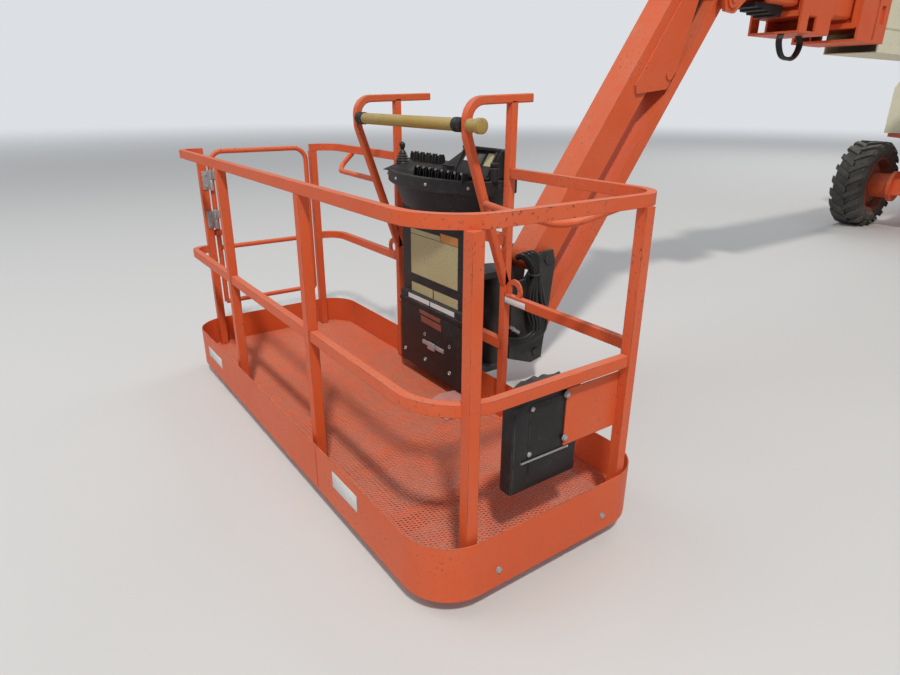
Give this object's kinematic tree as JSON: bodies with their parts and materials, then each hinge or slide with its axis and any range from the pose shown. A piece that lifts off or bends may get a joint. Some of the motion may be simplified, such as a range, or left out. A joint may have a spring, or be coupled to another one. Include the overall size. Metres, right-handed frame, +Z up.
{
  "type": "telescopic boom lift",
  "caption": "Self-propelled aerial work platform: telescopic boom on a swinging turntable, parallelogram jib, rotating platform with gate.",
  "frame": {"origin": "on the ground, at the middle of the machine's length and width", "axes": "+X runs from the turntable to the platform, +Y to the machine's left, +Z up"},
  "size_m": [11.6498, 2.49, 2.5549],
  "materials": {
    "orange_paint": "satin, worn",
    "cream_paint": "satin, worn",
    "black_paint": "satin",
    "dark_red_paint": "dusty",
    "tyre_rubber": "dusty",
    "cylinder_chrome": "polished",
    "black_plastic": "moulded, scuffed",
    "yellow_paint": "weathered",
    "cast_iron": "rough",
    "red_pedal": "faded"
  },
  "bodies": {
    "chassis": {"chassis_frame": "orange_paint", "swing_bearing": "black_paint", "tie_down_lugs": "orange_paint", "drive_axle": "orange_paint", "steer_axle": "orange_paint", "steer_cylinder": "black_paint"},
    "knuckle_l": {"knuckle_left": "orange_paint"},
    "knuckle_r": {"knuckle_right": "orange_paint"},
    "steering_link": {"tie_rod": "black_paint"},
    "wheel_front_left": {"tyre_front_left": "tyre_rubber", "rim_front_left": "dark_red_paint"},
    "wheel_front_right": {"tyre_front_right": "tyre_rubber", "rim_front_right": "dark_red_paint"},
    "wheel_rear_left": {"tyre_rear_left": "tyre_rubber", "rim_rear_left": "dark_red_paint"},
    "wheel_rear_right": {"tyre_rear_right": "tyre_rubber", "rim_rear_right": "dark_red_paint"},
    "turntable": {"turntable_frame": "orange_paint", "counterweight": "orange_paint", "engine": "cast_iron", "tanks": "black_paint", "ground_controls": "black_plastic"},
    "left_hood": {"hood_left": "cream_paint"},
    "right_hood": {"hood_right": "cream_paint"},
    "boom_base": {"base_boom": "cream_paint", "base_collar": "orange_paint", "carrier_tray": "cream_paint"},
    "boom_mid": {"mid_boom": "orange_paint", "mid_collar": "orange_paint"},
    "boom_fly": {"fly_boom": "orange_paint", "carrier_links": "black_plastic"},
    "lift_cylinder": {"lift_barrel": "black_paint"},
    "lift_cylinder_rod": {"lift_rod": "cylinder_chrome"},
    "head": {"jib_head": "orange_paint"},
    "jib": {"jib_arm": "orange_paint"},
    "jib_lower_link": {"jib_link": "orange_paint"},
    "jib_cylinder": {"jib_barrel": "black_paint"},
    "jib_cylinder_rod": {"jib_rod": "cylinder_chrome"},
    "rotator_support": {"rotator": "black_paint"},
    "platform": {"platform_carrier": "black_paint", "toe_board": "orange_paint", "floor_frame": "orange_paint", "floor_mesh": "orange_paint", "rails": "orange_paint", "console_frames": "orange_paint", "guard_bar": "yellow_paint", "control_box": "black_plastic", "cabinet": "black_plastic", "storage_box": "black_plastic", "foot_switch": "red_pedal", "document_box": "black_plastic"},
    "platform_gate": {"gate": "orange_paint"}
  },
  "joints": [
    {"name": "steer_left", "type": "hinge", "parent": "chassis", "child": "knuckle_l", "pos_m": [-4.615, 0.75, 0.5], "axis": [0, 0, 1], "range_deg": [-35, 35]},
    {"name": "steer_right", "type": "hinge", "parent": "chassis", "child": "knuckle_r", "pos_m": [-4.615, -0.75, 0.5], "axis": [0, 0, 1], "range_deg": [-35, 35]},
    {"name": "steer_link_slide", "type": "slide", "parent": "chassis", "child": "steering_link", "axis": [0, 1, 0], "range_m": [-0.12, 0.12]},
    {"name": "wheel_front_left_roll", "type": "hinge", "parent": "chassis", "child": "wheel_front_left", "pos_m": [-2.135, 1.0675, 0.5], "axis": [0, 1, 0], "continuous": true},
    {"name": "wheel_front_right_roll", "type": "hinge", "parent": "chassis", "child": "wheel_front_right", "pos_m": [-2.135, -1.0675, 0.5], "axis": [0, 1, 0], "continuous": true},
    {"name": "wheel_rear_left_roll", "type": "hinge", "parent": "knuckle_l", "child": "wheel_rear_left", "pos_m": [-4.615, 1.0675, 0.5], "axis": [0, 1, 0], "continuous": true},
    {"name": "wheel_rear_right_roll", "type": "hinge", "parent": "knuckle_r", "child": "wheel_rear_right", "pos_m": [-4.615, -1.0675, 0.5], "axis": [0, 1, 0], "continuous": true},
    {"name": "turntable_swing", "type": "hinge", "parent": "chassis", "child": "turntable", "pos_m": [-3.375, 0, 1.03], "axis": [0, 0, 1], "continuous": true},
    {"name": "hood_left_open", "type": "hinge", "parent": "turntable", "child": "left_hood", "pos_m": [-3.375, 0.3, 1.86], "axis": [1, 0, 0], "range_deg": [0, 60]},
    {"name": "hood_right_open", "type": "hinge", "parent": "turntable", "child": "right_hood", "pos_m": [-3.375, -0.3, 1.86], "axis": [-1, 0, 0], "range_deg": [0, 60]},
    {"name": "boom_lift", "type": "hinge", "parent": "turntable", "child": "boom_base", "pos_m": [-5.025, 0, 2.17], "axis": [0, -1, 0], "range_deg": [0, 75]},
    {"name": "telescope_mid", "type": "slide", "parent": "boom_base", "child": "boom_mid", "axis": [1, 0, 0], "range_m": [0, 4.7]},
    {"name": "telescope_fly", "type": "slide", "parent": "boom_mid", "child": "boom_fly", "axis": [1, 0, 0], "range_m": [0, 4.7]},
    {"name": "lift_cylinder_turn", "type": "hinge", "parent": "turntable", "child": "lift_cylinder", "pos_m": [-4.075, 0, 1.3], "axis": [0, -1, 0], "range_deg": [0, 76]},
    {"name": "lift_cylinder_stroke", "type": "slide", "parent": "lift_cylinder", "child": "lift_cylinder_rod", "axis": [0.9766, 0, 0.2152], "range_m": [0, 1.5775]},
    {"name": "head_level", "type": "hinge", "parent": "boom_fly", "child": "head", "pos_m": [2.875, 0, 2.17], "axis": [0, -1, 0], "range_deg": [-75, 0]},
    {"name": "jib_lift", "type": "hinge", "parent": "head", "child": "jib", "pos_m": [3.076, 0, 2.475], "axis": [0, -1, 0], "range_deg": [0, 120]},
    {"name": "jib_link_turn", "type": "hinge", "parent": "head", "child": "jib_lower_link", "pos_m": [3.128, 0, 1.978], "axis": [0, -1, 0], "range_deg": [0, 120]},
    {"name": "jib_cylinder_turn", "type": "hinge", "parent": "head", "child": "jib_cylinder", "pos_m": [3.106, 0, 2.215], "axis": [0, -1, 0], "range_deg": [0, 122]},
    {"name": "jib_cylinder_stroke", "type": "slide", "parent": "jib_cylinder", "child": "jib_cylinder_rod", "axis": [0.557, 0, -0.8305], "range_m": [0, 0.458]},
    {"name": "rotator_level", "type": "hinge", "parent": "jib", "child": "rotator_support", "pos_m": [4.36913, 0, 0.69516], "axis": [0, -1, 0], "range_deg": [-120, 0]},
    {"name": "platform_rotate", "type": "hinge", "parent": "rotator_support", "child": "platform", "pos_m": [4.625, 0, 0.4], "axis": [0, 0, 1], "range_deg": [-90, 90]},
    {"name": "gate_swing", "type": "hinge", "parent": "platform", "child": "platform_gate", "pos_m": [5.64, -1.18, 0.75], "axis": [0, 0, -1], "range_deg": [0, 90]}
  ],
  "couplings": [
    {"joint": "steer_right", "follows": "steer_left", "ratio": 1},
    {"joint": "steer_link_slide", "follows": "steer_left", "m_per_rad": -0.19},
    {"joint": "telescope_fly", "follows": "telescope_mid", "ratio": 1},
    {"joint": "lift_cylinder_turn", "follows": "boom_lift", "ratio": 0.98763},
    {"joint": "lift_cylinder_stroke", "follows": "boom_lift", "m_per_rad": 1.1975},
    {"joint": "head_level", "follows": "boom_lift", "ratio": -1},
    {"joint": "jib_link_turn", "follows": "jib_lift", "ratio": 1},
    {"joint": "jib_cylinder_turn", "follows": "jib_lift", "ratio": 1.0085},
    {"joint": "jib_cylinder_stroke", "follows": "jib_lift", "m_per_rad": 0.21629},
    {"joint": "rotator_level", "follows": "jib_lift", "ratio": -1}
  ]
}
